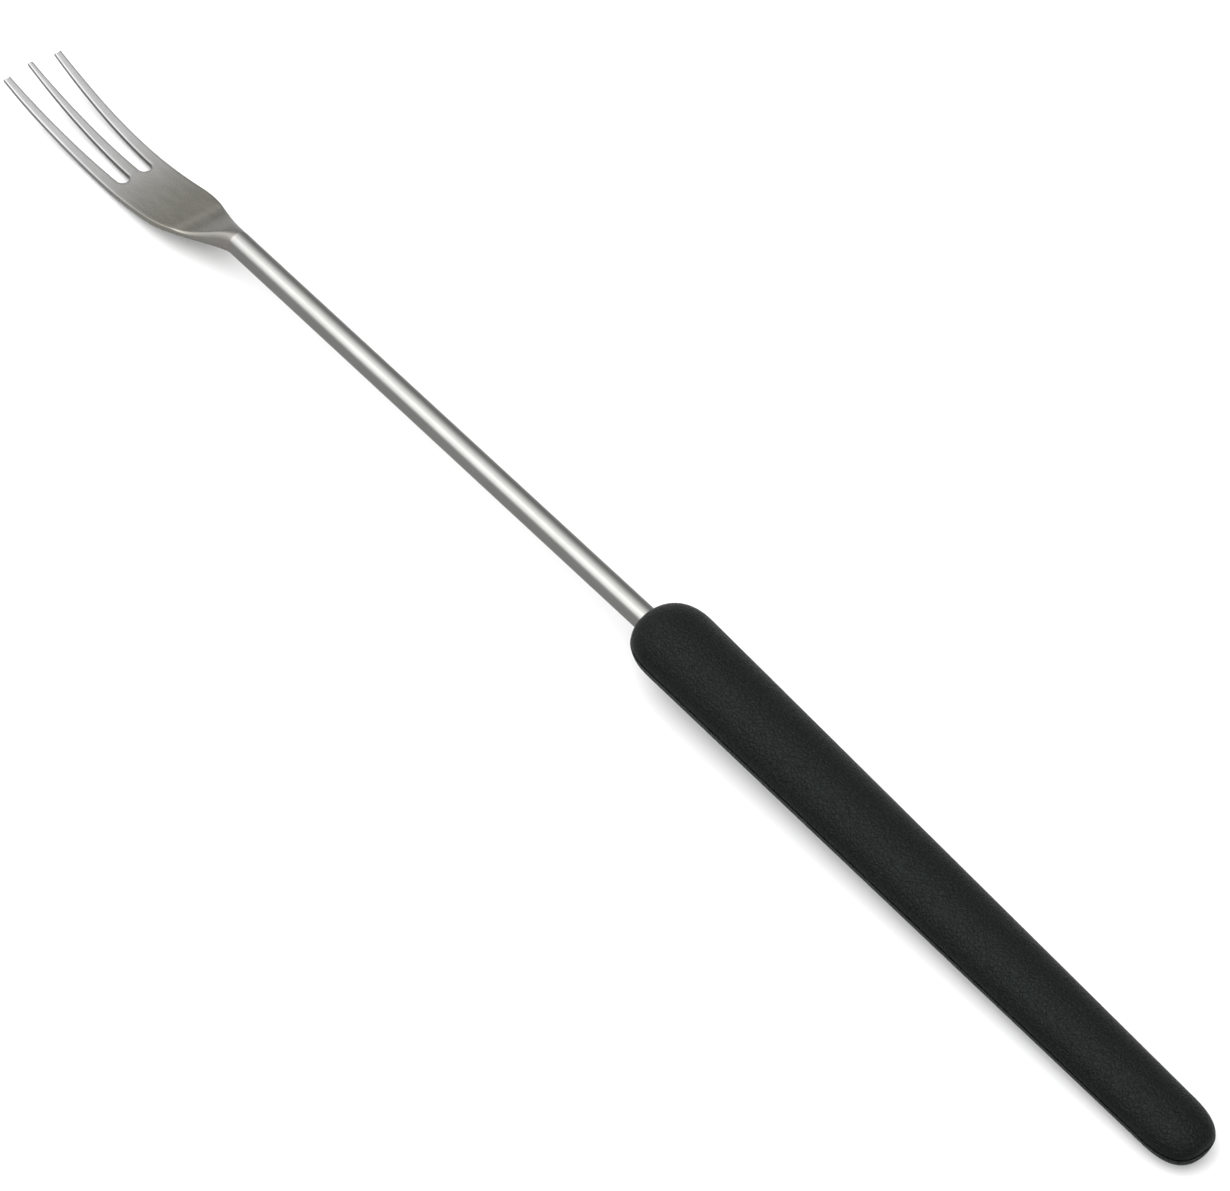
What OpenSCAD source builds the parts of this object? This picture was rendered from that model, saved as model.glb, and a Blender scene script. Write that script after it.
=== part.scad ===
// Marshmallow roasting fork.
// A stamped three-tine head is butt-welded to a round shaft. The shaft's plain
// tang is pinned between the two moulded halves of a long grip.
// Millimetres. +X points to the tines, +Z up, and the fork lies face up.
// The origin is the middle of its footprint, on the surface it lies on.

/* [Grip] */
// Length of the grip along its own axis
grip_length = 181.2; // [140:0.1:230]
// Width of the grip just behind its front dome
grip_front_width = 19.8; // [17:0.1:25]
// Width of the grip just before its rear dome
grip_rear_width = 15.4; // [14:0.1:22]
// Height of the grip's section over its width
grip_flatness = 0.78; // [0.75:0.01:1]
// Angle at which the grip droops from the shaft, in degrees
grip_droop = 2.4; // [1.5:0.1:3]
// Length of the dome at the front end
front_dome = 11; // [6:0.5:15]
// Length of the dome at the rear end
rear_dome = 12; // [6:0.5:18]
// Wall of the moulded halves
grip_wall = 2.4; // [1.8:0.1:2.8]
// Height of the grip's axis above the shaft at the front face
grip_rise = 1.25; // [0.5:0.05:2]

/* [Shaft] */
// Diameter of the round shaft
shaft_diameter = 6; // [4.5:0.1:7.5]
// Length of shaft in the open, from the grip to the head
shaft_exposed = 153.5; // [80:0.5:400]
// Length of tang inside the grip
tang_length = 70; // [56:1:84]
// Chamfer at the hidden end of the tang
tang_chamfer = 0.8; // [0.2:0.1:1.2]

/* [Head] */
// Length of the head from the weld to the middle tip
head_length = 86; // [70:0.5:110]
// Width of the head at its shoulders
head_width = 16.8; // [14:0.1:22]
// Width of the head at its waist, behind the tips
waist_width = 16.2; // [13:0.1:22]
// Width across the tips
tip_spread = 17; // [14:0.1:24]
// Distance from the weld to the shoulders
shoulder_reach = 26; // [18:1:34]
// Distance from the weld over which the underside of the neck comes down to the plate
neck_reach = 18; // [12:1:26]
// Distance from the weld over which its upper face comes down to the plate
face_reach = 16; // [8:1:26]
// How far the belly of the head hangs below the shaft's axis
belly_depth = 10.1; // [2:0.1:14]
// Distance from the weld to the lowest point of the belly
belly_reach = 48; // [36:1:60]
// How far the tips curl up again from the belly
tip_rise = 5.6; // [0:0.1:10]
// Thickness of the flattened head
plate_thickness = 1.7; // [1.2:0.1:2.4]
// Thickness of the tines at their tips
tip_thickness = 1.3; // [0.8:0.1:2]
// Rounding of the head's rolled edges
edge_round = 0.5; // [0.3:0.1:1.2]

/* [Tines] */
// Length of the slots, from their round root to the tips
tine_length = 44.5; // [30:0.5:56]
// Width of each slot at its root
slot_width = 3; // [1.6:0.1:3.6]
// Width of the middle tine at its root
middle_tine_width = 3.4; // [2.4:0.1:5]
// Width of the middle tine at its tip
middle_tip_width = 1.5; // [1:0.1:2.4]
// Width of the outer tines at their tips
tip_width = 2; // [1.2:0.1:2.6]
// How far the outer tips stop short of the middle one
tip_setback = 0.8; // [0:0.1:2]

/* [Fasteners inside the grip] */
// Diameter of the cross pin that locks the tang
pin_diameter = 2.5; // [1.5:0.1:3]
// Distance of the cross pin behind the grip's front face
pin_reach = 31; // [27:1:36]
// Diameter of the moulded pegs that locate the two halves
peg_diameter = 2.4; // [1.6:0.1:2.6]
// Height of the pegs above the joint
peg_height = 2.4; // [1.5:0.1:3]
// Thickness of the cross ribs
rib_thickness = 1.6; // [1:0.1:2.4]
// Clearance round the tang, the pin and the pegs
fit_clearance = 0.08; // [0.05:0.01:0.2]

/* [Hidden] */

steel_colour = "#b8b5b0";
pin_colour = "#a7a8a8";
grip_colour = "#1f2423";

dome_steps = 8;         // facets along each dome of the grip's outline
front_power = 2.4;      // how square the front dome is, 2 being an ellipse
rear_power = 2.8;       // the same for the rear dome
head_steps = 38;        // rings along the head
ring_steps = 24;        // points round each ring
slot_steps = 8;         // points along each side of a slot
flare_power = 1.5;      // how late the neck starts to widen
flatten_power = 1.6;    // how late the neck starts to flatten
face_power = 2;         // how fast the upper face of the neck comes down
dip_power = 1.15;       // how late the neck starts to dip
splay_power = 1.2;      // how late the outer tines splay
overrun = 20;           // how far cutters reach past what they cut
end_clearance = 0.3;    // air behind the end of the tang
boss_wall = 1.2;        // plastic left round each peg socket
peg_gap = 1;            // plastic left between the tang and a peg
saddle_lead = 9;        // from the pin forward to the second saddle
saddle_lag = 14;        // from the pin back to the third saddle
tang_overhang = 8;      // tang left behind the last saddle
first_rib_gap = 4;      // from the tang's end back to the first rib
rib_pitch = 28;         // between the ribs of a pair
last_rib_gap = 24;      // from the rear end forward to the last rib
peg_lead = 15;          // from the pin forward to the first side pegs
peg_lag = 7;            // from the pin back to the second side pegs
spine_lag = 18;         // from the tang's end back to the first spine peg
spine_lead = 38;        // from the rear end forward to the last spine peg

shaft_radius = shaft_diameter / 2;
pin_radius = pin_diameter / 2;
peg_radius = peg_diameter / 2;
seat_radius = shaft_radius + fit_clearance;
boss_radius = peg_radius + fit_clearance + boss_wall;

// ---- smooth curves -------------------------------------------------------

function clamp(t) = min(1, max(0, t));
function swell(a, b, t) = a + (b - a) * (1 - cos(180 * clamp(t))) / 2;
function rolled_edge(t) = sqrt(1 - pow(1 - clamp(t), 2));

// ---- the head, by distance s from the weld -------------------------------

slot_root = head_length - tine_length;
waist_reach = (shoulder_reach + head_length) / 2;

function flare(s) = pow(sin(90 * clamp(s / shoulder_reach)), flare_power);
function flattening(s) = pow(cos(90 * clamp(s / neck_reach)), flatten_power);
function lowering(s) = pow(cos(90 * clamp(s / face_reach)), face_power);
function head_w(s) =
    s < shoulder_reach ? shaft_diameter + (head_width - shaft_diameter) * flare(s)
    : s < waist_reach
    ? swell(head_width, waist_width, (s - shoulder_reach) / (waist_reach - shoulder_reach))
    : swell(waist_width, tip_spread, (s - waist_reach) / (head_length - waist_reach));
function head_t(s) =
    plate_thickness + (shaft_diameter - plate_thickness) * lowering(s)
    - (plate_thickness - tip_thickness) * clamp((s - slot_root) / tine_length);
function head_round(s) = edge_round + (shaft_radius - edge_round) * flattening(s);
function neck_sink(s) =
    (shaft_diameter - plate_thickness) / 2 * (flattening(s) - lowering(s));
function head_z(s) =
    s < belly_reach ? -belly_depth * pow(sin(90 * s / belly_reach), dip_power) - neck_sink(s)
    : -belly_depth + tip_rise * pow((s - belly_reach) / (head_length - belly_reach), 2);

// One ring across the head: rolled edges at both sides, flat between them
function ring(s) = [for (i = [0 : ring_steps - 1])
    let (a = 360 * i / ring_steps,
         y = head_w(s) / 2 * sin(a),
         lift = head_t(s) / 2 * rolled_edge((head_w(s) / 2 - abs(y)) / head_round(s)))
    [s, y, head_z(s) + (cos(a) >= 0 ? lift : -lift)]];

head_rings = [for (k = [0 : head_steps]) ring(head_length * k / head_steps)];
head_floor = min([for (r = head_rings) for (p = r) p[2]]);

// ---- the grip: its outline is turned about its own axis ------------------

function grip_radius(u) = (grip_front_width + (grip_rear_width - grip_front_width)
    * clamp((u - front_dome) / (grip_length - front_dome - rear_dome))) / 2;
function dome_point(a, power) = [pow(sin(a), 2 / power), 1 - pow(cos(a), 2 / power)];

// [radius, distance behind the front face], shrunk by an inset on all sides
function grip_outline(inset) = concat(
    [for (k = [0 : dome_steps])
        let (d = dome_point(90 * k / dome_steps, front_power))
        [(grip_radius(0) - inset) * d[0], inset + (front_dome - inset) * d[1]]],
    [for (k = [dome_steps : -1 : 0])
        let (d = dome_point(90 * k / dome_steps, rear_power))
        [(grip_radius(grip_length) - inset) * d[0],
         grip_length - inset - (rear_dome - inset) * d[1]]]);

grip_edge = grip_outline(0);
grip_back = max([for (p = grip_edge)
    p[1] * cos(grip_droop) + p[0] * grip_flatness * sin(grip_droop)]);
grip_floor = grip_rise - max([for (p = grip_edge)
    p[1] * sin(grip_droop) + p[0] * grip_flatness * cos(grip_droop)]);

// ---- where things lie ----------------------------------------------------

total_length = grip_back + shaft_exposed + head_length;
grip_x = grip_back - total_length / 2;
weld_x = grip_x + shaft_exposed;
shaft_z = -min(grip_floor, head_floor);

pin_length = 2 * (grip_radius(pin_reach) - grip_wall) - 2 * fit_clearance;
saddle_reaches = [front_dome, pin_reach - saddle_lead, pin_reach + saddle_lag,
    tang_length - tang_overhang];
stiffener_reaches = [for (u = [tang_length + first_rib_gap,
    grip_length - last_rib_gap - rib_pitch]) each [u, u + rib_pitch]];
side_peg_reaches = [pin_reach - peg_lead, pin_reach + peg_lag];
spine_peg_reaches = [tang_length + spine_lag, grip_length - spine_lead];

module in_grip() {
    translate([grip_x, 0, shaft_z + grip_rise])
        rotate([0, -grip_droop, 0])
            mirror([1, 0, 0])
                children();
}

// ---- grip ----------------------------------------------------------------

module grip_solid(inset) {
    scale([1, 1, grip_flatness])
        rotate([0, 90, 0])
            rotate_extrude($fn = 72)
                polygon(grip_outline(inset));
}

module half_space(side) {
    translate([-overrun, -overrun, side > 0 ? 0 : -2 * overrun])
        cube([grip_length + 2 * overrun, 2 * overrun, 2 * overrun]);
}

// The tang's own line, as seen from the grip
module along_tang(radius, length) {
    translate([0, 0, -grip_rise])
        rotate([0, 90 - grip_droop, 0])
            translate([0, 0, -overrun])
                cylinder(h = length + overrun, r = radius, $fn = 48);
}

module rib(u) {
    translate([u - rib_thickness / 2, -overrun, -overrun])
        cube([rib_thickness, 2 * overrun, 2 * overrun]);
}

module pin_block() {
    translate([pin_reach - pin_diameter, -overrun, -overrun])
        cube([2 * pin_diameter, 2 * overrun, 2 * overrun]);
}

module peg_places() {
    for (u = side_peg_reaches)
        for (side = [-1, 1])
            translate([u, side * (seat_radius + peg_gap + peg_radius), 0])
                children();
    for (u = spine_peg_reaches)
        translate([u, 0, 0])
            children();
}

module grip_insides() {
    intersection() {
        grip_solid(grip_wall / 2);
        union() {
            for (u = saddle_reaches)
                rib(u);
            for (u = stiffener_reaches)
                rib(u);
            pin_block();
            peg_places()
                translate([0, 0, -overrun])
                    cylinder(h = 2 * overrun, r = boss_radius, $fn = 32);
        }
    }
}

module shell_half(side) {
    difference() {
        intersection() {
            union() {
                difference() {
                    grip_solid(0);
                    grip_solid(grip_wall);
                }
                grip_insides();
            }
            half_space(side);
        }
        along_tang(seat_radius, tang_length + end_clearance);
        translate([pin_reach, 0, 0])
            rotate([90, 0, 0])
                cylinder(h = pin_length + 2 * fit_clearance, r = pin_radius + fit_clearance,
                    center = true, $fn = 32);
    }
}

module upper_shell() {
    color(grip_colour)
        in_grip()
            difference() {
                shell_half(1);
                peg_places()
                    translate([0, 0, -fit_clearance])
                        cylinder(h = peg_height + 2 * fit_clearance,
                            r = peg_radius + fit_clearance, $fn = 32);
            }
}

module lower_shell() {
    color(grip_colour)
        in_grip() {
            shell_half(-1);
            peg_places()
                translate([0, 0, -1])
                    cylinder(h = peg_height + 1, r = peg_radius, $fn = 32);
        }
}

// ---- steel ---------------------------------------------------------------

module shaft() {
    color(steel_colour)
        difference() {
            translate([grip_x - tang_length, 0, shaft_z])
                rotate([0, 90, 0])
                    union() {
                        cylinder(h = tang_chamfer, r1 = shaft_radius - tang_chamfer,
                            r2 = shaft_radius, $fn = 64);
                        translate([0, 0, tang_chamfer])
                            cylinder(h = tang_length + shaft_exposed - tang_chamfer,
                                r = shaft_radius, $fn = 64);
                    }
            in_grip()
                translate([pin_reach, 0, 0])
                    rotate([90, 0, 0])
                        cylinder(h = 2 * overrun, r = pin_radius + fit_clearance,
                            center = true, $fn = 32);
        }
}

module tang_pin() {
    color(pin_colour)
        in_grip()
            translate([pin_reach, 0, 0])
                rotate([90, 0, 0])
                    cylinder(h = pin_length, r = pin_radius, center = true, $fn = 32);
}

// ---- head ----------------------------------------------------------------

// The rings are skinned with triangles, and each end is closed by a fan
module head_blank() {
    n = ring_steps;
    last = head_steps * n;
    hub = last + n;
    points = concat([for (r = head_rings) for (p = r) p],
        [for (s = [0, head_length]) [s, 0, head_z(s)]]);
    sides = [for (k = [0 : head_steps - 1]) for (i = [0 : n - 1])
        let (a = k * n + i, b = k * n + (i + 1) % n)
        each [[a, b, b + n], [a, b + n, a + n]]];
    ends = [for (i = [0 : n - 1]) let (j = (i + 1) % n)
        each [[hub, j, i], [hub + 1, last + i, last + j]]];
    polyhedron(points = points, faces = concat(sides, ends), convexity = 6);
}

// Both walls of a slot run from its round root past the tips
function slot_inner(s) = let (q = clamp((s - slot_root) / tine_length))
    (middle_tine_width + (middle_tip_width - middle_tine_width) * q) / 2;
function slot_outer(s) = let (q = clamp((s - slot_root) / tine_length),
        root = middle_tine_width / 2 + slot_width)
    root + (tip_spread / 2 - tip_width - root) * pow(q, splay_power);

module slot_outline() {
    r = slot_width / 2;
    mid = middle_tine_width / 2 + r;
    run = tine_length - r;
    arc = [for (k = [0 : slot_steps]) let (a = 180 * k / slot_steps)
        [slot_root + r - r * sin(a), mid - r * cos(a)]];
    outer = [for (k = [1 : slot_steps]) let (s = slot_root + r + run * k / slot_steps)
        [s, slot_outer(s)]];
    inner = [for (k = [slot_steps : -1 : 1]) let (s = slot_root + r + run * k / slot_steps)
        [s, slot_inner(s)]];
    beyond = head_length + 1;
    polygon(concat(arc, outer,
        [[beyond, slot_outer(head_length)], [beyond, slot_inner(head_length)]], inner));
}

module fork_head() {
    color(steel_colour)
        translate([weld_x, 0, shaft_z])
            difference() {
                head_blank();
                for (side = [0, 1])
                    mirror([0, side, 0]) {
                        translate([0, 0, -overrun])
                            linear_extrude(height = 2 * overrun)
                                slot_outline();
                        translate([head_length - tip_setback, slot_outer(head_length) - 1, -overrun])
                            cube([overrun, overrun, 2 * overrun]);
                    }
            }
}

fork_head();
shaft();
tang_pin();
upper_shell();
lower_shell();
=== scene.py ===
# %% [markdown]
# # A roasting fork with a stamped head and a two-part moulded grip
# The fork has a stamped stainless head with three blunt tines, a round drawn
# rod welded to it, and a long grip of two moulded halves pinned to the rod.
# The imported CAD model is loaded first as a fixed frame. Every piece below is
# worked out in that frame, so it lands where the CAD says it belongs.

# %% Load the frame
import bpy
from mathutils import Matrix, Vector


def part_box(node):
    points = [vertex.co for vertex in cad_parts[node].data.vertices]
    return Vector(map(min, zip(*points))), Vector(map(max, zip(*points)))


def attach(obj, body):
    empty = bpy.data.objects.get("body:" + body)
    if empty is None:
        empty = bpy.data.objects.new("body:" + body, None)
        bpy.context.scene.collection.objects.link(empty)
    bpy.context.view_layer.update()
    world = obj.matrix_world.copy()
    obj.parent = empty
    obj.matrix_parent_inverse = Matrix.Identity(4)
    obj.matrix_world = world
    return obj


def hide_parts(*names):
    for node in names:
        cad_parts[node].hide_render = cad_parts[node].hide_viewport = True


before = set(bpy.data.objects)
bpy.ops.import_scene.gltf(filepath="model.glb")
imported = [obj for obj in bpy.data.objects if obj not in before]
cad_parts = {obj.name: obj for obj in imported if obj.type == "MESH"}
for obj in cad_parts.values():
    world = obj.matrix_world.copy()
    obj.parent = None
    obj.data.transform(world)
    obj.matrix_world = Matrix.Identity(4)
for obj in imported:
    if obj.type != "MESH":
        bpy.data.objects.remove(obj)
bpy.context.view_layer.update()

# %% Modules, and the two units used throughout
import math

import bmesh
import bpy
import numpy as np
from mathutils import Matrix, Vector
from mathutils.geometry import delaunay_2d_cdt

MM = 0.001
DEGREE = math.pi / 180
print("one millimetre is", MM, "m, one degree is %.5f radians" % DEGREE)

# %% [markdown]
# ## Sizes
# The detailed pieces follow the same lengths as the CAD nodes they stand for.
# Only the places along X and Z are read from the frame, because the CAD
# centres the whole fork over its footprint.

# %% Sizes of the head, in millimetres
SHAFT_RADIUS = 3.0
HEAD_LENGTH, HEAD_WIDTH, WAIST_WIDTH, TIP_SPREAD = 86.0, 16.8, 16.2, 17.0
SHOULDER_REACH, NECK_REACH, FACE_REACH, BELLY_REACH = 26.0, 18.0, 16.0, 48.0
BELLY_DEPTH, TIP_RISE = 10.1, 5.6
PLATE_THICKNESS, TIP_THICKNESS, EDGE_ROUND = 1.7, 1.3, 0.5
TINE_LENGTH, SLOT_WIDTH, TIP_SETBACK = 44.5, 3.0, 0.8
MIDDLE_ROOT_WIDTH, MIDDLE_TIP_WIDTH, OUTER_TIP_WIDTH = 3.4, 1.5, 2.0
FLARE_POWER, FLATTEN_POWER, FACE_POWER = 1.5, 1.6, 2.0
DIP_POWER, SPLAY_POWER = 1.15, 1.2
SLOT_ROOT = HEAD_LENGTH - TINE_LENGTH
WAIST_REACH = (SHOULDER_REACH + HEAD_LENGTH) / 2
print("slots start %.1f mm from the weld" % SLOT_ROOT)

# %% Sizes of the grip, in millimetres
GRIP_LENGTH, FRONT_WIDTH, REAR_WIDTH, FLATNESS = 181.2, 19.8, 15.4, 0.78
FRONT_DOME, REAR_DOME, FRONT_POWER, REAR_POWER = 11.0, 12.0, 2.4, 2.8
WALL, DROOP, RISE, CLEARANCE = 2.4, 2.4 * DEGREE, 1.25, 0.08
TANG_LENGTH, SHAFT_EXPOSED = 70.0, 153.5
PIN_REACH, PIN_RADIUS, PEG_RADIUS, PEG_HEIGHT = 31.0, 1.25, 1.2, 2.4
RIB_THICKNESS, BOSS_WALL, PEG_GAP = 1.6, 1.2, 1.0
print("grip %.1f mm high behind its front dome" % (FRONT_WIDTH * FLATNESS))

# %% Where the weld and the shaft's axis lie, read from the frame
shaft_low, shaft_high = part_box("shaft")
weld_x = shaft_high.x / MM
shaft_z = (shaft_low.z + shaft_high.z) / 2 / MM
grip_x = weld_x - SHAFT_EXPOSED
print("weld at x = %.2f mm, shaft axis at z = %.2f mm" % (weld_x, shaft_z))

# %% [markdown]
# ## Two small helpers
# Colours are written as sRGB hex values, as a paint chart gives them, and one
# function turns them to the linear values that the shaders work in. A second
# function adds a shader node with its settings, values and links in one line.

# %% Hex to linear, and one node at a time
def linear(hex_colour):
    parts = [int(hex_colour[i:i + 2], 16) / 255 for i in (1, 3, 5)]
    return tuple(c / 12.92 if c <= 0.04045 else ((c + 0.055) / 1.055) ** 2.4
                 for c in parts) + (1.0,)


def add_node(tree, kind, sockets=(), **settings):
    node = tree.nodes.new("ShaderNode" + kind)
    for name, value in settings.items():
        setattr(node, name, value)
    for place, value in dict(sockets).items():
        if isinstance(value, bpy.types.NodeSocket):
            tree.links.new(value, node.inputs[place])
        else:
            node.inputs[place].default_value = value
    return node


print("linear mid grey:", [round(c, 3) for c in linear("#808080")])

# %% [markdown]
# ## Camera
# The fork lies flat and is seen from the grip's side, a little to its left,
# from 47 degrees up. A long lens from 1.3 m keeps its two ends at nearly the
# same scale, so its proportions read true. Nothing is shifted or out of focus.

# %% The camera
TOWARDS_CAMERA = Vector((-0.528, 0.4214, 0.7373)).normalized()
CAMERA_DISTANCE, NEAREST, FARTHEST = 1.300, 0.05, 50.0
LENS, SENSOR = 170.46, 36.0
BEHIND_WELD, ASIDE, BELOW_SHAFT = 137.04, 3.68, 8.0
aim = Vector((weld_x - BEHIND_WELD, -ASIDE, shaft_z - BELOW_SHAFT)) * MM

lens_data = bpy.data.cameras.new("camera")
lens_data.lens, lens_data.sensor_width = LENS, SENSOR
lens_data.clip_start, lens_data.clip_end = NEAREST, FARTHEST
camera = bpy.data.objects.new("camera", lens_data)
camera.location = aim + TOWARDS_CAMERA * CAMERA_DISTANCE
camera.rotation_euler = (-TOWARDS_CAMERA).to_track_quat("-Z", "Y").to_euler()
bpy.context.scene.collection.objects.link(camera)
bpy.context.scene.camera = camera
print("camera at", [round(c, 3) for c in camera.location])

# %% [markdown]
# ## Studio
# A pale table, a dim room that gets lighter overhead, and one long softbox.
# Satin steel shows its shape by what it mirrors: the softbox gives the bright
# line along the rod, and the dim horizon gives the grey bands on each side.
# The table is lit a little past white, so only the contact shadow is seen. To
# the steel and the grip it is a greyer table than the camera sees, or it would
# wash out their undersides. A Light Path node tells the two apart.

# %% The table's shape
TABLE_HALF = 12.0
table_mesh = bpy.data.meshes.new("table")
table_mesh.from_pydata([(sx * TABLE_HALF, sy * TABLE_HALF, 0.0)
                        for sx, sy in ((-1, -1), (1, -1), (1, 1), (-1, 1))],
                       [], [(0, 1, 2, 3)])
table = bpy.data.objects.new("table", table_mesh)
bpy.context.scene.collection.objects.link(table)
print("table", 2 * TABLE_HALF, "m wide")

# %% The table's matt laminate
SEEN_DARK, SEEN_LIGHT, MIRRORED = "#e6e6e6", "#eaeaea", "#949494"
MOTTLE_PER_METRE, TABLE_ROUGHNESS, TABLE_GLOSS = 14.0, 0.7, 0.2
laminate = bpy.data.materials.new("matt_white_laminate")
laminate.use_nodes = True
tree = laminate.node_tree
tree.nodes.clear()
place = add_node(tree, "TexCoord")
mottle = add_node(tree, "TexNoise", {"Vector": place.outputs["Object"],
                                     "Scale": MOTTLE_PER_METRE, "Detail": 3.0})
tone = add_node(tree, "Mix", {"Factor": mottle.outputs[0], "A": linear(SEEN_DARK),
                              "B": linear(SEEN_LIGHT)}, data_type="RGBA")
table_ray = add_node(tree, "LightPath")
shown = add_node(tree, "Mix", {"Factor": table_ray.outputs["Is Camera Ray"],
                               "A": linear(MIRRORED), "B": tone.outputs[2]},
                 data_type="RGBA")
surface = add_node(tree, "BsdfPrincipled", {
    "Base Color": shown.outputs[2], "Roughness": TABLE_ROUGHNESS,
    "Specular IOR Level": TABLE_GLOSS})
add_node(tree, "OutputMaterial", {"Surface": surface.outputs[0]})
table_mesh.materials.append(laminate)
print("table finish:", laminate.name)

# %% Room: a dim horizon, a broad glow overhead, and a far end that gets darker
HORIZON, GLOW, BACKDROP = 0.33, 2.38, 0.98
GLOW_LEAN, GLOW_SPREAD = 14 * DEGREE, 33 * DEGREE
FAR_START, FAR_END, FAR_GLOW = 0.58, 0.86, 0.47
world = bpy.data.worlds.new("room")
bpy.context.scene.world = world
world.use_nodes = True
tree = world.node_tree
tree.nodes.clear()
direction = add_node(tree, "TexCoord")
split = add_node(tree, "SeparateXYZ", {"Vector": direction.outputs["Generated"]})
lean = add_node(tree, "Math", {0: split.outputs["Y"], 1: split.outputs["Z"]},
                operation="ARCTAN2")
off_glow = add_node(tree, "Math", {0: lean.outputs[0], 1: GLOW_LEAN},
                    operation="SUBTRACT")
spread = add_node(tree, "Math", {0: off_glow.outputs[0], 1: GLOW_SPREAD},
                  operation="DIVIDE")
square = add_node(tree, "Math", {0: spread.outputs[0], 1: spread.outputs[0]},
                  operation="MULTIPLY")
fade = add_node(tree, "Math", {0: square.outputs[0], 1: -0.5}, operation="MULTIPLY")
lobe = add_node(tree, "Math", {0: fade.outputs[0]}, operation="EXPONENT")
far = add_node(tree, "MapRange", {"Value": split.outputs["X"], "From Min": FAR_START,
                                  "From Max": FAR_END, "To Min": GLOW,
                                  "To Max": GLOW * FAR_GLOW},
               interpolation_type="SMOOTHSTEP")
level = add_node(tree, "Math", {0: lobe.outputs[0], 1: far.outputs[0], 2: HORIZON},
                 operation="MULTIPLY_ADD")
room = add_node(tree, "Background", {"Color": linear("#ffffff"),
                                     "Strength": level.outputs[0]})
seen = add_node(tree, "Background", {"Color": linear("#fdfdfd"), "Strength": BACKDROP})
room_ray = add_node(tree, "LightPath")
both = add_node(tree, "MixShader", {0: room_ray.outputs["Is Camera Ray"],
                                    1: room.outputs[0], 2: seen.outputs[0]})
add_node(tree, "OutputWorld", {"Surface": both.outputs[0]})
print("room from", HORIZON, "to", HORIZON + GLOW)

# %% Softbox: long, along the fork, leaning over from the camera's side
SOFTBOX_SIDE, SOFTBOX_DISTANCE = Vector((0.10, 0.586, 0.804)).normalized(), 1.5
SOFTBOX_LONG, SOFTBOX_SHORT, SOFTBOX_RADIANCE = 2.2, 1.30, 0.9
softbox_data = bpy.data.lights.new("softbox", "AREA")
softbox_data.shape = "RECTANGLE"
softbox_data.size, softbox_data.size_y = SOFTBOX_LONG, SOFTBOX_SHORT
softbox_data.energy = SOFTBOX_RADIANCE * math.pi * SOFTBOX_LONG * SOFTBOX_SHORT
softbox_data.color = linear("#ffffff")[:3]
softbox = bpy.data.objects.new("softbox", softbox_data)
fork_axis = Vector((1, 0, 0))
long_axis = (fork_axis - SOFTBOX_SIDE * fork_axis.dot(SOFTBOX_SIDE)).normalized()
softbox.matrix_world = Matrix.Translation(SOFTBOX_SIDE * SOFTBOX_DISTANCE) @ Matrix(
    (long_axis, SOFTBOX_SIDE.cross(long_axis), SOFTBOX_SIDE)).transposed().to_4x4()
bpy.context.scene.collection.objects.link(softbox)
print("softbox at", [round(c, 2) for c in softbox.location])

# %% Colours are shown as they are, without a film curve
view = bpy.context.scene.view_settings
view.view_transform, view.look = "Standard", "None"
print("view transform:", view.view_transform)

# %% [markdown]
# ## Two helpers for every modelled piece
# Each modelled piece is a list of points and faces. The first helper makes it
# an object whose faces all look outwards. The second gives a finished piece its
# shading and its body, hides the CAD node it stands for, and counts the edges
# that don't join exactly two faces. The count is made before export, so it
# misses the holes left where an export drops a face that isn't valid.

# %% Make a mesh object, and finish a piece
def plain_mesh(name, points, faces):
    mesh = bpy.data.meshes.new(name)
    mesh.from_pydata([tuple(p) for p in points], [], faces)
    mesh.validate()
    work = bmesh.new()
    work.from_mesh(mesh)
    bmesh.ops.recalc_face_normals(work, faces=work.faces)
    work.to_mesh(mesh)
    work.free()
    piece = bpy.data.objects.new(name, mesh)
    bpy.context.scene.collection.objects.link(piece)
    return piece


def finish_piece(piece, node, smooth_below):
    mesh = piece.data
    mesh.shade_smooth()
    mesh.set_sharp_from_angle(angle=smooth_below * DEGREE)
    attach(piece, "root")
    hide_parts(node)
    check = bmesh.new()
    check.from_mesh(mesh)
    open_edges = sum(not e.is_manifold for e in check.edges)
    print("%s: %d points, %d open edges before export, %.0f mm3" % (
        piece.name, len(mesh.vertices), open_edges, check.calc_volume() / MM ** 3))
    check.free()


# %% [markdown]
# ## The head
# The real head is blanked from 1.7 mm stainless sheet, its tines are slotted,
# the neck is forged round to meet the rod, and the edges are rolled over by
# tumbling. A bevel modifier can't run from a round neck to a thin plate, so
# the surface is worked out instead: the outline is drawn flat, filled with
# points that get denser towards every edge, and each point is lifted by half
# the plate's thickness, less a rounding that depends only on how far the point
# lies from the nearest edge. Slots and tips are rounded in the same way.

# %% The head's width and thickness, by distance s from the weld
def clamp(t):
    return np.clip(t, 0.0, 1.0)


def swell(a, b, t):
    """A smooth passage from a to b as t goes from 0 to 1"""
    return a + (b - a) * (1 - np.cos(math.pi * clamp(t))) / 2


def flattening(s):
    return np.cos(math.pi / 2 * clamp(s / NECK_REACH)) ** FLATTEN_POWER


def lowering(s):
    return np.cos(math.pi / 2 * clamp(s / FACE_REACH)) ** FACE_POWER


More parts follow.
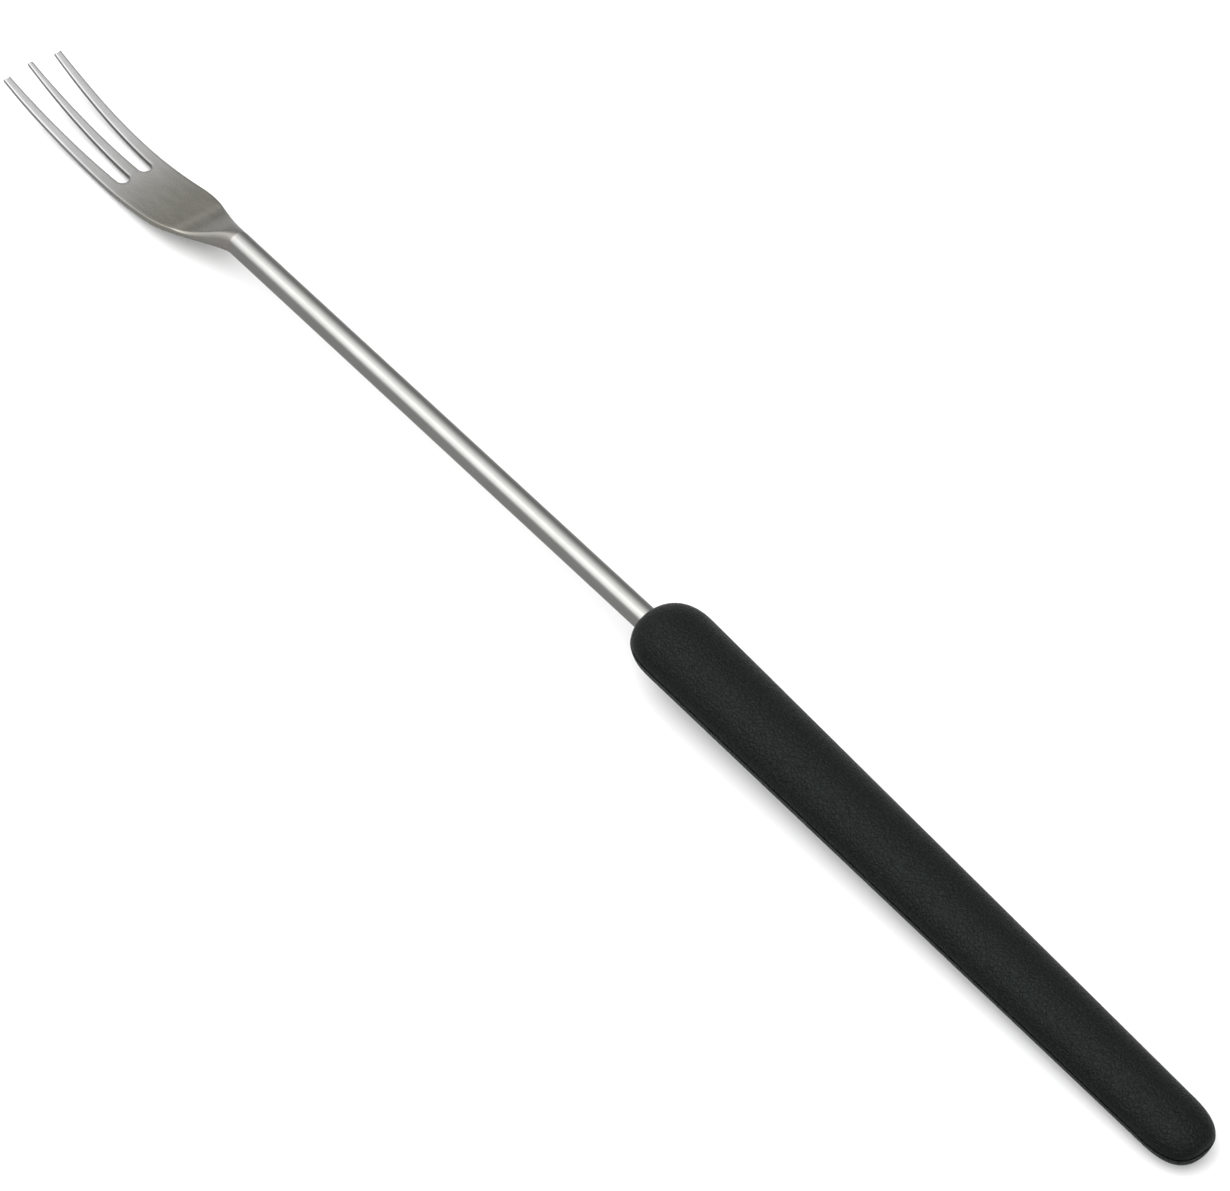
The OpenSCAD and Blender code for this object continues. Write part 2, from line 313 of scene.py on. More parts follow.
def head_width(s):
    flare = np.sin(math.pi / 2 * clamp(s / SHOULDER_REACH)) ** FLARE_POWER
    neck = 2 * SHAFT_RADIUS + (HEAD_WIDTH - 2 * SHAFT_RADIUS) * flare
    waist = swell(HEAD_WIDTH, WAIST_WIDTH,
                  (s - SHOULDER_REACH) / (WAIST_REACH - SHOULDER_REACH))
    tips = swell(WAIST_WIDTH, TIP_SPREAD,
                 (s - WAIST_REACH) / (HEAD_LENGTH - WAIST_REACH))
    return np.where(s < SHOULDER_REACH, neck, np.where(s < WAIST_REACH, waist, tips))


def head_thickness(s):
    thinning = clamp((s - SLOT_ROOT) / TINE_LENGTH) * (PLATE_THICKNESS - TIP_THICKNESS)
    neck = (2 * SHAFT_RADIUS - PLATE_THICKNESS) * lowering(s)
    return PLATE_THICKNESS + neck - thinning


def head_rounding(s):
    return EDGE_ROUND + (SHAFT_RADIUS - EDGE_ROUND) * flattening(s)


for s in (0.0, SHOULDER_REACH, WAIST_REACH, HEAD_LENGTH):
    print("%.0f mm from the weld: %.1f mm wide, %.1f mm thick"
          % (s, head_width(s), head_thickness(s)))

# %% The head's height over the shaft's axis, and the two sides of a slot
def neck_sink(s):
    """The upper face comes down to the plate sooner than the underside does"""
    return (SHAFT_RADIUS - PLATE_THICKNESS / 2) * (flattening(s) - lowering(s))


def head_height(s):
    dip = -BELLY_DEPTH * np.sin(math.pi / 2 * clamp(s / BELLY_REACH)) ** DIP_POWER
    dip = dip - neck_sink(s)
    past_belly = (s - BELLY_REACH) / (HEAD_LENGTH - BELLY_REACH)
    curl = -BELLY_DEPTH + TIP_RISE * past_belly ** 2
    return np.where(s < BELLY_REACH, dip, curl)


def slot_inner(s):
    q = clamp((s - SLOT_ROOT) / TINE_LENGTH)
    return (MIDDLE_ROOT_WIDTH + (MIDDLE_TIP_WIDTH - MIDDLE_ROOT_WIDTH) * q) / 2


def slot_outer(s):
    root = MIDDLE_ROOT_WIDTH / 2 + SLOT_WIDTH
    q = clamp((s - SLOT_ROOT) / TINE_LENGTH)
    return root + (TIP_SPREAD / 2 - OUTER_TIP_WIDTH - root) * q ** SPLAY_POWER


print("belly of the head %.1f mm below the shaft" % -head_height(np.array(BELLY_REACH)))

# %% Steps along a side, a rounded corner, and a side as a curve
OUTLINE_STEP, CORNER_STEPS = 0.34, 6


def along(start, end):
    return np.linspace(start, end, max(2, int(abs(end - start) / OUTLINE_STEP)))


def corner(before, at, after, radius):
    """A rounded corner, as a curve that starts and ends on the two sides"""
    before, at, after = (np.array(p, float) for p in (before, at, after))
    start = at + (before - at) / np.linalg.norm(before - at) * radius
    end = at + (after - at) / np.linalg.norm(after - at) * radius
    t = np.linspace(0, 1, CORNER_STEPS)[:, None]
    return (1 - t) ** 2 * start + 2 * t * (1 - t) * at + t ** 2 * end


def curve(reaches, half):
    return np.stack([reaches, half(reaches)], 1)


def half_width(s):
    return head_width(s) / 2


print("a side of the head in", len(along(0, HEAD_LENGTH)), "steps")

# %% The outline of one side, from the weld round the tips to the middle
TIP_CORNER, ROOT_STEPS, BACK = 0.25, 16, 1.0
outer_tip = HEAD_LENGTH - TIP_SETBACK
outer_end = outer_tip - TIP_CORNER - OUTLINE_STEP
middle_end = HEAD_LENGTH - TIP_CORNER - OUTLINE_STEP
edge_corner = (outer_tip, float(half_width(np.array(outer_tip))))
slot_corner = (outer_tip, float(slot_outer(np.array(outer_tip))))
middle_corner = (HEAD_LENGTH, MIDDLE_TIP_WIDTH / 2)
slot_radius = SLOT_WIDTH / 2
slot_middle = MIDDLE_ROOT_WIDTH / 2 + slot_radius
slot_start = SLOT_ROOT + slot_radius
turn = np.linspace(math.pi, 0, ROOT_STEPS)[1:-1]
side = np.vstack([
    curve(along(0, outer_end), half_width),
    corner((outer_tip - BACK, edge_corner[1]), edge_corner, slot_corner, TIP_CORNER),
    corner(edge_corner, slot_corner, (outer_tip - BACK, slot_corner[1]), TIP_CORNER),
    curve(along(outer_end, slot_start), slot_outer),
    np.stack([SLOT_ROOT + slot_radius * (1 - np.sin(turn)),
              slot_middle - slot_radius * np.cos(turn)], 1),
    curve(along(slot_start, middle_end), slot_inner),
    corner((HEAD_LENGTH - BACK, middle_corner[1]), middle_corner, (HEAD_LENGTH, 0),
           TIP_CORNER),
    [[HEAD_LENGTH, 0.0]]])
outline = np.vstack([side, side[-2::-1] * (1, -1)])
print("head outline:", len(outline), "points")

# %% How far a point lies inside the outline, and whether it is inside at all
POINTS_AT_A_TIME, PAST_WELD = 500, 0.02


def edge_distance(points):
    a, b = outline[:-1], outline[1:]
    run = b - a
    length2 = (run ** 2).sum(1)
    best = []
    for chunk in np.array_split(points, max(1, len(points) // POINTS_AT_A_TIME)):
        t = np.clip(((chunk[:, None] - a) * run).sum(2) / length2, 0, 1)
        nearest = a + t[..., None] * run
        best.append(np.linalg.norm(chunk[:, None] - nearest, axis=2).min(1))
    return np.concatenate(best)


def in_metal(points):
    s, y = points[:, 0], np.abs(points[:, 1])
    in_slot = (y > slot_inner(s)) & (y < slot_outer(s)) & (s > slot_start)
    in_root = np.hypot(s - SLOT_ROOT - slot_radius, y - slot_middle) < slot_radius
    past_tip = (s > HEAD_LENGTH) | ((s > outer_tip) & (y > slot_inner(s)))
    return (s > PAST_WELD) & (y < half_width(s)) & ~in_slot & ~in_root & ~past_tip


middle = np.array([[HEAD_LENGTH / 2, 0.0]])
print("middle of the head: in metal", bool(in_metal(middle)[0]),
      "and %.1f mm from an edge" % edge_distance(middle)[0])

# %% Points in rows that follow the edges, then a plain grid in the middle
# A row's point is kept only where no other edge lies nearer to it.
ROWS, NEAREST_EDGE = 9, 0.985
GRID, GRID_START, GRID_SIDE = 0.62, 0.4, 9.0
heading = np.gradient(outline, axis=0)
heading /= np.linalg.norm(heading, axis=1)[:, None]
inward = np.stack([heading[:, 1], -heading[:, 0]], 1)
rounding = head_rounding(outline[:, 0])
cloud = []
for row in range(1, ROWS + 1):
    depth = rounding * (1 - math.cos(math.pi / 2 * row / ROWS))
    points = outline + inward * depth[:, None]
    clear = edge_distance(points) > NEAREST_EDGE * depth
    cloud.append(points[in_metal(points) & clear])
grid_s, grid_y = np.meshgrid(np.arange(GRID_START, HEAD_LENGTH, GRID),
                             np.arange(-GRID_SIDE, GRID_SIDE + GRID / 2, GRID))
grid_s = grid_s + np.where(np.arange(len(grid_s))[:, None] % 2, GRID / 2, 0)
grid = np.stack([grid_s.ravel(), grid_y.ravel()], 1)
grid = grid[in_metal(grid)]
cloud.append(grid[edge_distance(grid) > head_rounding(grid[:, 0]) + GRID / 2])
cloud = np.vstack(cloud)
print("head:", len(cloud), "points inside the outline")

# %% A spine of points down the middle of each tine, and one row over the weld
LEAST_GAP = 0.12
middle_spine = along(SLOT_ROOT + 2, HEAD_LENGTH - 0.5)
outer_spine = along(SLOT_ROOT + 4, outer_tip - 0.6)
outer_middle = (head_width(outer_spine) / 2 + slot_outer(outer_spine)) / 2
spines = [np.stack([middle_spine, 0 * middle_spine], 1)]
spines += [np.stack([outer_spine, sign * outer_middle], 1) for sign in (-1, 1)]
for spine in spines:
    gap = np.linalg.norm(spine[:, None] - cloud, axis=2).min(1)
    cloud = np.vstack([cloud, spine[gap > LEAST_GAP]])
across = SHAFT_RADIUS * np.cos(math.pi * np.arange(1, 2 * ROWS) / (2 * ROWS))
weld_line = np.stack([0 * across, -across], 1)
print("head:", len(cloud), "points inside,", len(weld_line), "on the weld line")

# %% Fill the outline with triangles and lift both faces
INSIDE_ONLY, MERGE, TOUCHING = 1, 1e-5, 1e-4
flat = np.vstack([outline, weld_line, cloud])
rim = len(outline) + len(weld_line)
edges = [(i, (i + 1) % rim) for i in range(rim)]
plane, _, triangles, *_ = delaunay_2d_cdt(
    [Vector(p) for p in flat], edges, [], INSIDE_ONLY, MERGE)
plane = np.array([tuple(p) for p in plane])
depth = edge_distance(plane)
on_rim = depth < TOUCHING
depth[on_rim] = 0
reach = plane[:, 0]
lift = head_thickness(reach) / 2 * np.sqrt(
    1 - (1 - clamp(depth / head_rounding(reach))) ** 2)
centre = head_height(reach)
print("head:", len(plane), "points,", len(triangles), "triangles a side")

# %% Join the two faces at the rim, and close the neck with a flat disc
HEAD_SMOOTH_BELOW = 40
count = len(plane)
under = np.where(on_rim, np.arange(count), -1)
under[~on_rim] = count + np.arange((~on_rim).sum())
upper = np.stack([reach + weld_x, plane[:, 1], centre + lift + shaft_z], 1)
lower = np.stack([reach + weld_x, plane[:, 1], centre - lift + shaft_z], 1)[~on_rim]
weld_row = [i for i in range(count) if reach[i] < TOUCHING]
weld_row.sort(key=lambda i: plane[i, 1])
disc = weld_row + [int(under[i]) for i in reversed(weld_row[1:-1])]
faces = [tuple(t) for t in triangles]
faces += [tuple(int(under[i]) for i in reversed(t)) for t in triangles] + [tuple(disc)]
head = plain_mesh("stamped_head", np.vstack([upper, lower]) * MM, faces)
finish_piece(head, "fork_head", HEAD_SMOOTH_BELOW)

# %% [markdown]
# ## The grip
# Two halves moulded in black polypropylene close over the tang like a clam.
# Seen from outside it is one long oval bar with rounded ends, a fine moulded
# grain and a thin parting line that runs right round it. A subdivided cylinder
# would pinch at its ends, so each half is skinned straight from the oval's own
# curve, with rows packed towards the joint where the parting line needs them.

# %% The grip's outline: distance behind the front face, and radius
FINE_ROWS, COARSE_ROWS = (22, 70), (10, 12)
DOME_ANGLES, DOME_FROM = (0, 0.4, 1.2, 2.4), 4


def grip_radius(u):
    taper = clamp((u - FRONT_DOME) / (GRIP_LENGTH - FRONT_DOME - REAR_DOME))
    return (FRONT_WIDTH + (REAR_WIDTH - FRONT_WIDTH) * taper) / 2


def dome(angles, length, radius, power):
    """How far in from the end, and the radius there, of a domed end"""
    return (length * (1 - np.cos(angles) ** (2 / power)),
            radius * np.sin(angles) ** (2 / power))


def grip_outline(inset, rows):
    dome_steps, body_steps = rows
    a = np.concatenate([DOME_ANGLES, np.linspace(DOME_FROM, 90, dome_steps)]) * DEGREE
    u, r = dome(a, FRONT_DOME - inset, FRONT_WIDTH / 2 - inset, FRONT_POWER)
    front = np.stack([inset + u, r], 1)
    u, r = dome(a, REAR_DOME - inset, REAR_WIDTH / 2 - inset, REAR_POWER)
    rear = np.stack([GRIP_LENGTH - inset - u, r], 1)[::-1]
    u = np.linspace(FRONT_DOME, GRIP_LENGTH - REAR_DOME, body_steps)[1:-1]
    body = np.stack([u, grip_radius(u) - inset], 1)
    return np.vstack([front, body, rear])


def from_grip(points):
    """Grip axes to the frame: u runs back along the drooping grip, z is up"""
    u, y, z = np.asarray(points, float).T
    return np.stack([grip_x - u * math.cos(DROOP) - z * math.sin(DROOP), y,
                     shaft_z + RISE - u * math.sin(DROOP) + z * math.cos(DROOP)], 1)


print("grip outline:", len(grip_outline(0, FINE_ROWS)), "rows")

# %% [markdown]
# The parting line is where the halves meet. On the real grip the lower half
# stands a hair proud, with a fine bead of flash, and the upper half's edge is
# eased. Both are shaped here as a small shift of the skin along its normal
# that fades out within half a millimetre of the joint. The shift only ever
# goes inwards, so the bead is where the lower half keeps its full size.

# %% How far the skin moves in at a height above or below the joint
BEAD, BEAD_WIDTH, BEAD_HEIGHT, EASE = 0.10, 0.50, 0.12, 0.24


def skin_shift(height, half):
    if half > 0:
        return EASE * np.exp(-(height / (BEAD_WIDTH / 2)) ** 2) + BEAD / 2
    return BEAD * (1 - np.exp(-((height - BEAD_HEIGHT) / (BEAD_WIDTH / 2)) ** 2))


print("upper edge eased by %.2f mm" % skin_shift(0.0, 1))

# %% One half of an oval skin, closed by a flat face at the joint
FINE_ANGLES = np.concatenate([(0, 0.6, 1.2, 1.9, 2.6, 3.5, 4.6, 6, 8, 11, 15),
                              np.arange(20, 90, 5)])
COARSE_ANGLES = np.concatenate([(0.0, 8.0, 16.0), np.arange(24, 90, 8)])


def half_oval(half, inset, fine):
    rows = grip_outline(inset, FINE_ROWS if fine else COARSE_ROWS)
    lean = np.gradient(rows, axis=0)
    lean /= np.linalg.norm(lean, axis=1)[:, None]
    quarter = FINE_ANGLES if fine else COARSE_ANGLES
    angles = np.concatenate([quarter, 180 - quarter[::-1]]) * DEGREE
    depth = skin_shift(0.0, half) if fine else 0.0
    points, ring = [(rows[0][0] + depth, 0.0, 0.0)], len(angles)
    for (u, r), (across, out) in zip(rows[1:-1], lean[1:-1]):
        oval = np.stack([np.full(ring, u), r * np.cos(angles),
                         FLATNESS * r * np.sin(angles)], 1)
        if fine:
            normal = np.stack([np.full(ring, -out), across * np.cos(angles),
                               across * np.sin(angles) / FLATNESS], 1)
            normal /= np.linalg.norm(normal, axis=1)[:, None]
            oval -= normal * skin_shift(oval[:, 2], half)[:, None]
            oval[[0, -1], 2] = 0
        points += [(p[0], p[1], half * p[2]) for p in oval]
    points.append((rows[-1][0] - depth, 0.0, 0.0))
    return from_grip(points) * MM, oval_faces(ring, len(rows) - 2, len(points) - 1)


def oval_faces(ring, rings, rear_tip):
    """Quads between the rings, fans to both tips, and the flat face between"""
    faces = []
    for k in range(rings - 1):
        a = 1 + k * ring
        faces += [(a + i, a + i + 1, a + ring + i + 1, a + ring + i)
                  for i in range(ring - 1)]
        faces.append((a + ring - 1, a, a + ring, a + 2 * ring - 1))
    last = 1 + (rings - 1) * ring
    faces += [(0, 1 + i, 2 + i) for i in range(ring - 1)] + [(0, ring, 1)]
    faces += [(last + i, rear_tip, last + i + 1) for i in range(ring - 1)]
    faces.append((last + ring - 1, rear_tip, last))
    return faces


print("outer skin:", len(half_oval(1, 0, True)[0]), "points a half")

# %% [markdown]
# ## Inside the grip
# The inside matters to anyone who prints or opens the model: saddles carry the
# tang, a block holds the cross pin, ribs stiffen the hollow, and pegs locate
# the halves. Each is a simple closed body, and booleans put them together. The
# manifold solver is quick, but it leaves faces that aren't valid at the joint,
# inside the grip: one in the upper half and six in the lower. An export drops
# them, which leaves 4 and 24 open edges, so the exported halves are not
# watertight and need a repair before anyone prints them.

# %% Simple closed bodies, added to a list of (points, faces)
ROUND_STEPS, BORE_STEPS, SLAB_REACH = 32, 72, 14.0


def bar(parts, start, end, radius, steps=ROUND_STEPS):
    start, end = np.array(start, float), np.array(end, float)
    axis = (end - start) / np.linalg.norm(end - start)
    side = np.cross(axis, (0, 0, 1.0) if abs(axis[2]) < 0.9 else (1.0, 0, 0))
    side /= np.linalg.norm(side)
    up = np.cross(axis, side)
    a = np.linspace(0, 2 * math.pi, steps, endpoint=False)[:, None]
    ring = side * np.cos(a) + up * np.sin(a)
    faces = [(i, (i + 1) % steps, steps + (i + 1) % steps, steps + i)
             for i in range(steps)]
    faces += [tuple(range(steps)), tuple(range(2 * steps - 1, steps - 1, -1))]
    parts.append((np.vstack([start + ring * radius, end + ring * radius]), faces))


def slab(parts, u0, u1):
    corners = [(u, y, z) for u in (u0, u1) for y in (-SLAB_REACH, SLAB_REACH)
               for z in (-SLAB_REACH, SLAB_REACH)]
    parts.append((np.array(corners), [(0, 1, 3, 2), (4, 6, 7, 5), (0, 4, 5, 1),
                                      (2, 3, 7, 6), (0, 2, 6, 4), (1, 5, 7, 3)]))


def merged(name, parts, place=from_grip):
    points, faces = [], []
    for body, sides in parts:
        faces += [tuple(i + len(points) for i in f) for f in sides]
        points += list(body)
    return plain_mesh(name, place(np.array(points)) * MM, faces)


def apply_boolean(piece, other, operation):
    step = piece.modifiers.new(operation, "BOOLEAN")
    step.operation, step.object, step.solver = operation, other, "MANIFOLD"
    bpy.context.view_layer.update()
    result = bpy.data.meshes.new_from_object(piece.evaluated_get(
        bpy.context.evaluated_depsgraph_get()))
    piece.modifiers.clear()
    piece.data = result
    bpy.data.objects.remove(other)


print("round cutters have", ROUND_STEPS, "sides, the tang's bore", BORE_STEPS)

# %% Where the saddles, ribs and pegs stand, by distance behind the front face
SADDLES = [FRONT_DOME, PIN_REACH - 9, PIN_REACH + 14, TANG_LENGTH - 8]
STIFFENERS = [TANG_LENGTH + 4, TANG_LENGTH + 32, GRIP_LENGTH - 52, GRIP_LENGTH - 24]
seat = SHAFT_RADIUS + CLEARANCE
side_peg = seat + PEG_GAP + PEG_RADIUS
pegs = [(u, y) for u in (PIN_REACH - 15, PIN_REACH + 7) for y in (-side_peg, side_peg)]
pegs += [(TANG_LENGTH + 18, 0.0), (GRIP_LENGTH - 38, 0.0)]
boss = PEG_RADIUS + CLEARANCE + BOSS_WALL
pin_width = 2 * (float(grip_radius(np.array(PIN_REACH))) - WALL)
pin_length = pin_width - 2 * CLEARANCE
print(len(SADDLES), "saddles,", len(STIFFENERS), "ribs,", len(pegs), "pegs")

# %% Build both halves
BOSS_REACH, SOCKET_START, STUD_START = 12, -2, -1
BORE_END_GAP, BORE_LEAD, GRIP_SMOOTH_BELOW = 0.3, 20, 34


def chambers(half):
    """The hollow of one half, with everything that stands in it left out"""
    points, faces = half_oval(half, WALL, False)
    hollow = plain_mesh("hollow", points, faces)
    kept = []
    for u in SADDLES + STIFFENERS:
        slab(kept, u - RIB_THICKNESS / 2, u + RIB_THICKNESS / 2)
    slab(kept, PIN_REACH - 2 * PIN_RADIUS, PIN_REACH + 2 * PIN_RADIUS)
    for u, y in pegs:
        bar(kept, (u, y, -BOSS_REACH), (u, y, BOSS_REACH), boss)
    apply_boolean(hollow, merged("kept", kept), "DIFFERENCE")
    return hollow


def grip_half(name, half, node):
    points, faces = half_oval(half, 0, True)
    piece = plain_mesh(name, points, faces)
    apply_boolean(piece, chambers(half), "DIFFERENCE")
    cuts = []
    bar(cuts, (PIN_REACH, -pin_length / 2 - CLEARANCE, 0),
        (PIN_REACH, pin_length / 2 + CLEARANCE, 0), PIN_RADIUS + CLEARANCE)
    if half > 0:
        for u, y in pegs:
            bar(cuts, (u, y, SOCKET_START), (u, y, PEG_HEIGHT + CLEARANCE),
                PEG_RADIUS + CLEARANCE)
    apply_boolean(piece, merged("cuts", cuts), "DIFFERENCE")
    bore = []
    bar(bore, (grip_x - TANG_LENGTH - BORE_END_GAP, 0, shaft_z),
        (grip_x + BORE_LEAD, 0, shaft_z), seat, BORE_STEPS)
    apply_boolean(piece, merged("bore", bore, np.asarray), "DIFFERENCE")
    if half < 0:
        studs = []
        for u, y in pegs:
            bar(studs, (u, y, STUD_START), (u, y, PEG_HEIGHT), PEG_RADIUS)
        apply_boolean(piece, merged("studs", studs), "UNION")
    finish_piece(piece, node, GRIP_SMOOTH_BELOW)
    return piece


upper_half = grip_half("grip_upper_half", 1, "upper_shell")
lower_half = grip_half("grip_lower_half", -1, "lower_shell")

# %% [markdown]
# ## Stainless steel
# The head is common 18/8 stainless, tumbled and satin polished. The polish
# leaves very fine scratches that run along the fork, so highlights spread
# softly and the grey drifts a little from place to place. The dished palm is
# painted a warmer, slightly darker grey that fades out along the tines: a
# painted reflection of the dimmer, warmer light the palm mirrors. Next to the
# weld, the heat has left a faint rose tint, with a bluish one behind it. The
# rod is drawn through a die, so it is a little smoother and has the weld's
# tints only. The scratches are really about 0.02 mm apart. They are drawn 0.08
# to 0.12 mm apart, the finest that still shows.

# %% Coordinates in millimetres, and an empty material
def millimetres(tree, stretch=(1, 1, 1)):
    place = add_node(tree, "TexCoord")
    scale = tuple(1 / (MM * k) for k in stretch)
    return add_node(tree, "Mapping", {"Vector": place.outputs["Object"],
                                      "Scale": scale}).outputs[0]


def blank_material(name):
    material = bpy.data.materials.new(name)
    material.use_nodes = True
    material.node_tree.nodes.clear()
    return material, material.node_tree


print("one texture unit is one millimetre")

# %% The colour of a steel: a drifting grey, with tints by distance from the weld
CLOUD_MM, DRIFT_MM = 9, 9.0


def steel_colour(tree, mm, dark, light, tints):
    cloud = add_node(tree, "TexNoise", {"Vector": mm, "Scale": 1 / CLOUD_MM,
                                        "Detail": 4.0, "Roughness": 0.6})
    tone = add_node(tree, "MapRange", {"Value": cloud.outputs[0],
                                       "From Min": 0.3, "From Max": 0.7})
    base = add_node(tree, "Mix", {"Factor": tone.outputs[0], "A": linear(dark),
                                  "B": linear(light)}, data_type="RGBA")
    split = add_node(tree, "SeparateXYZ", {"Vector": mm})
    drift = add_node(tree, "Math", {0: cloud.outputs[0], 1: DRIFT_MM},
                     operation="MULTIPLY")
    reach = add_node(tree, "Math", {0: split.outputs["X"], 1: drift.outputs[0]},
                     operation="ADD")
    colour = base.outputs[2]
    for past_weld, width, hex_colour, most in tints:
        offset = add_node(tree, "Math", {0: reach.outputs[0],
                                         1: weld_x + DRIFT_MM / 2 + past_weld},
                          operation="SUBTRACT")
        distance = add_node(tree, "Math", {0: offset.outputs[0]}, operation="ABSOLUTE")
        band = add_node(tree, "MapRange", {"Value": distance.outputs[0],
                                           "From Min": width, "From Max": 0.0,
                                           "To Max": most},
                        interpolation_type="SMOOTHSTEP")
        colour = add_node(tree, "Mix", {"Factor": band.outputs[0], "A": colour,
                                        "B": linear(hex_colour)},
                          data_type="RGBA").outputs[2]
    return colour


print("the grey drifts over about", CLOUD_MM, "mm")

# %% The whole steel: its colour, its rubbed patches and its scratches
SCRATCH_RATIO, RUBBED_MM = 40, (14, 1.6, 1.6)
RUBBED_LOW, RUBBED_HIGH, SCRATCH_GLOSS = -0.03, 0.04, 0.025


def steel(name, dark, light, rough, scratch_mm, scratch_depth, tints):
    material, tree = blank_material(name)
    colour = steel_colour(tree, millimetres(tree), dark, light, tints)
    lines = add_node(tree, "TexNoise", {
        "Vector": millimetres(tree, (SCRATCH_RATIO * scratch_mm, scratch_mm,
                                     scratch_mm)),
        "Scale": 1.0, "Detail": 3.0, "Roughness": 0.65})
    rubbed = add_node(tree, "TexNoise", {"Vector": millimetres(tree, RUBBED_MM),
                                         "Scale": 1.0, "Detail": 2.0})
    worn = add_node(tree, "MapRange", {"Value": rubbed.outputs[0], "From Min": 0.3,
                                       "From Max": 0.7, "To Min": rough + RUBBED_LOW,
                                       "To Max": rough + RUBBED_HIGH})
    fine = add_node(tree, "MapRange", {"Value": lines.outputs[0], "From Min": 0.35,
                                       "From Max": 0.65, "To Min": -SCRATCH_GLOSS,
                                       "To Max": SCRATCH_GLOSS})
    roughness = add_node(tree, "Math", {0: worn.outputs[0], 1: fine.outputs[0]},
                         operation="ADD")
    bump = add_node(tree, "Bump", {"Height": lines.outputs[0], "Strength": 1.0,
                                   "Distance": scratch_depth * MM})
    surface = add_node(tree, "BsdfPrincipled", {
        "Base Color": colour, "Metallic": 1.0, "Roughness": roughness.outputs[0],
        "Normal": bump.outputs[0]})
    add_node(tree, "OutputMaterial", {"Surface": surface.outputs[0]})
    return material


print("scratches are", SCRATCH_RATIO, "times as long as they are wide")

# %% The three steels: satin head, drawn rod and ground pin
# A tint is millimetres past the weld, reach in millimetres, colour and strength.
# The palm's tint is a painted reflection, not a colour of the steel.
PAINTED_PALM_REFLECTION = (20.0, 36.0, "#9a988f", 1.00)
HEAT_TINTS = [(1.0, 5.0, "#9a8d89", 0.25), (-4.0, 4.0, "#8f9499", 0.15)]
satin = steel("satin_polished_stainless_steel", "#9c9c9c", "#a3a3a3", 0.27,
              0.12, 0.0010, [PAINTED_PALM_REFLECTION] + HEAT_TINTS)
drawn = steel("drawn_stainless_rod", "#949491", "#9b9b98", 0.21,
              0.10, 0.0012, HEAT_TINTS)
ground = steel("ground_steel_pin", "#a6a7a9", "#b4b5b6", 0.22, 0.08, 0.0010, [])
head.data.materials.append(satin)
for node, finish in (("shaft", drawn), ("tang_pin", ground)):
    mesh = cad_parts[node].data
    mesh.materials.clear()
    mesh.materials.append(finish)
print("steels:", satin.name, drawn.name, ground.name)

# %% [markdown]
# ## Grained polypropylene
# Outdoor grips are usually moulded in black polypropylene with a leather grain
# etched into the mould, cells about a millimetre across and a few hundredths
# deep. The black has a slight green cast, the grain breaks the gloss into fine
# glints, and handling has polished patches of it a little. The valleys between
# the cells are painted a darker black, as painted shade in the recesses. The
# cells are drawn 0.1 mm deep. The fine pitting is really 0.1 mm across and
# 0.02 mm deep. It is drawn 0.6 mm across and deep enough to show.

# %% The grip's grain: cells with a wandering edge, and fine pitting
GRAIN_MM, GRAIN_DEPTH, VALLEY = 1.0, 0.10, 0.22
FINE_MM, FINE_DEPTH, PATCH_MM = 0.60, 0.28, 22
WANDER_MM, WANDER_PULL = 1.7, 1.5
plastic, tree = blank_material("moulded_grained_polypropylene")
mm = millimetres(tree)
wander = add_node(tree, "TexNoise", {"Vector": mm, "Scale": 1 / WANDER_MM,
                                     "Detail": 2.0})
centred = add_node(tree, "VectorMath", {0: wander.outputs["Color"],
                                        1: (0.5, 0.5, 0.5)}, operation="SUBTRACT")
pull = add_node(tree, "VectorMath", {0: centred.outputs[0], "Scale": WANDER_PULL},
                operation="SCALE")
bent = add_node(tree, "VectorMath", {0: mm, 1: pull.outputs[0]}, operation="ADD")
cells = add_node(tree, "TexVoronoi", {"Vector": bent.outputs[0],
                                      "Scale": 1 / GRAIN_MM},
                 feature="DISTANCE_TO_EDGE")
pad = add_node(tree, "MapRange", {"Value": cells.outputs["Distance"],
                                  "From Min": 0.0, "From Max": VALLEY},
               interpolation_type="SMOOTHSTEP")
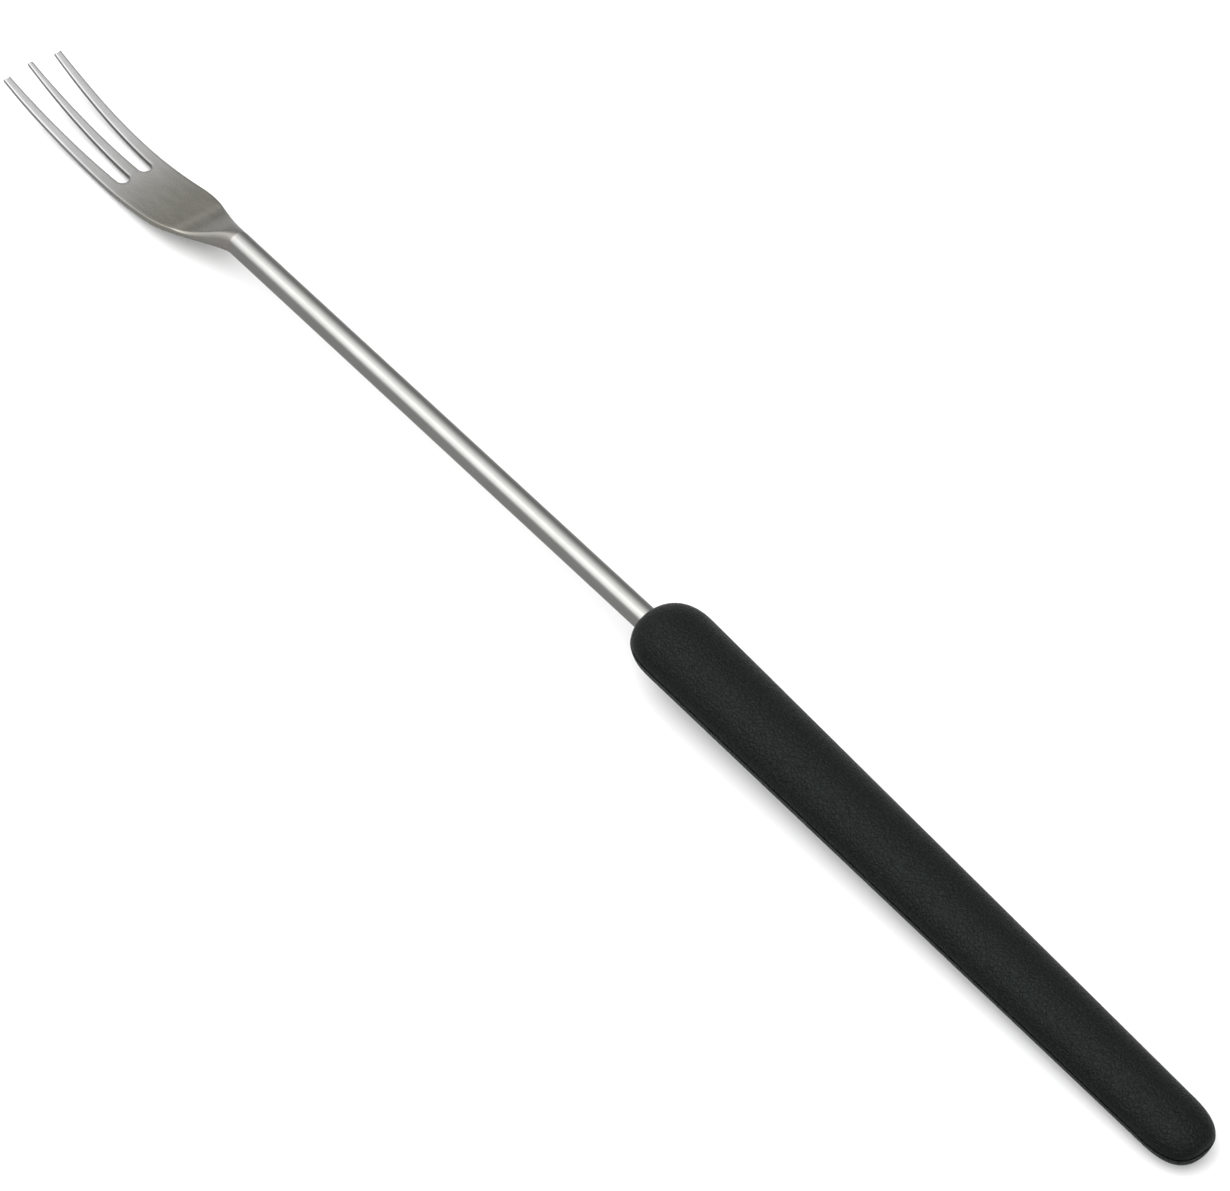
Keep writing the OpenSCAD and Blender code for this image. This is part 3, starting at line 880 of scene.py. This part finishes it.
speck = add_node(tree, "TexNoise", {"Vector": mm, "Scale": 1 / FINE_MM,
                                    "Detail": 3.0, "Roughness": 0.6})
grain = add_node(tree, "Bump", {"Height": pad.outputs[0], "Strength": 1.0,
                                "Distance": GRAIN_DEPTH * MM})
bump = add_node(tree, "Bump", {"Height": speck.outputs[0], "Strength": 1.0,
                               "Distance": FINE_DEPTH * MM,
                               "Normal": grain.outputs[0]})
print("grain of", GRAIN_MM, "mm cells, with", FINE_MM, "mm pitting")

# %% The grip's colour, with painted shade in the grain's valleys, and its gloss
# The third black is painted shade, laid in the grain's valleys.
BLACK_DARK, BLACK_LIGHT, PAINTED_VALLEY_SHADE = "#050807", "#070b0a", "#040605"
POLISHED, DULL, PITTED_GLOSS = 0.20, 0.26, 0.07
PLASTIC_IOR, PLASTIC_GLOSS, GREEN_CAST = 1.49, 0.145, (0.88, 1.0, 0.96, 1.0)
patch = add_node(tree, "TexNoise", {"Vector": mm, "Scale": 1 / PATCH_MM,
                                    "Detail": 3.0})
base = add_node(tree, "Mix", {"Factor": patch.outputs[0], "A": linear(BLACK_DARK),
                              "B": linear(BLACK_LIGHT)}, data_type="RGBA")
# The grain's valleys are painted darker than the cell tops: painted shade in the
# recesses.
valley_shade = add_node(tree, "Mix", {"Factor": pad.outputs[0], "A": linear(PAINTED_VALLEY_SHADE),
                              "B": base.outputs[2]}, data_type="RGBA")
rub = add_node(tree, "MapRange", {"Value": patch.outputs[0], "From Min": 0.35,
                                  "From Max": 0.65, "To Min": POLISHED,
                                  "To Max": DULL})
pitted = add_node(tree, "MapRange", {"Value": speck.outputs[0], "From Min": 0.3,
                                     "From Max": 0.7, "To Min": -PITTED_GLOSS,
                                     "To Max": PITTED_GLOSS})
rough = add_node(tree, "Math", {0: rub.outputs[0], 1: pitted.outputs[0]},
                 operation="ADD")
surface = add_node(tree, "BsdfPrincipled", {
    "Base Color": valley_shade.outputs[2], "Roughness": rough.outputs[0],
    "Normal": bump.outputs[0], "IOR": PLASTIC_IOR,
    "Specular IOR Level": PLASTIC_GLOSS, "Specular Tint": GREEN_CAST})
add_node(tree, "OutputMaterial", {"Surface": surface.outputs[0]})
for piece in (upper_half, lower_half):
    piece.data.materials.clear()
    piece.data.materials.append(plastic)
print("grip finish:", plastic.name)
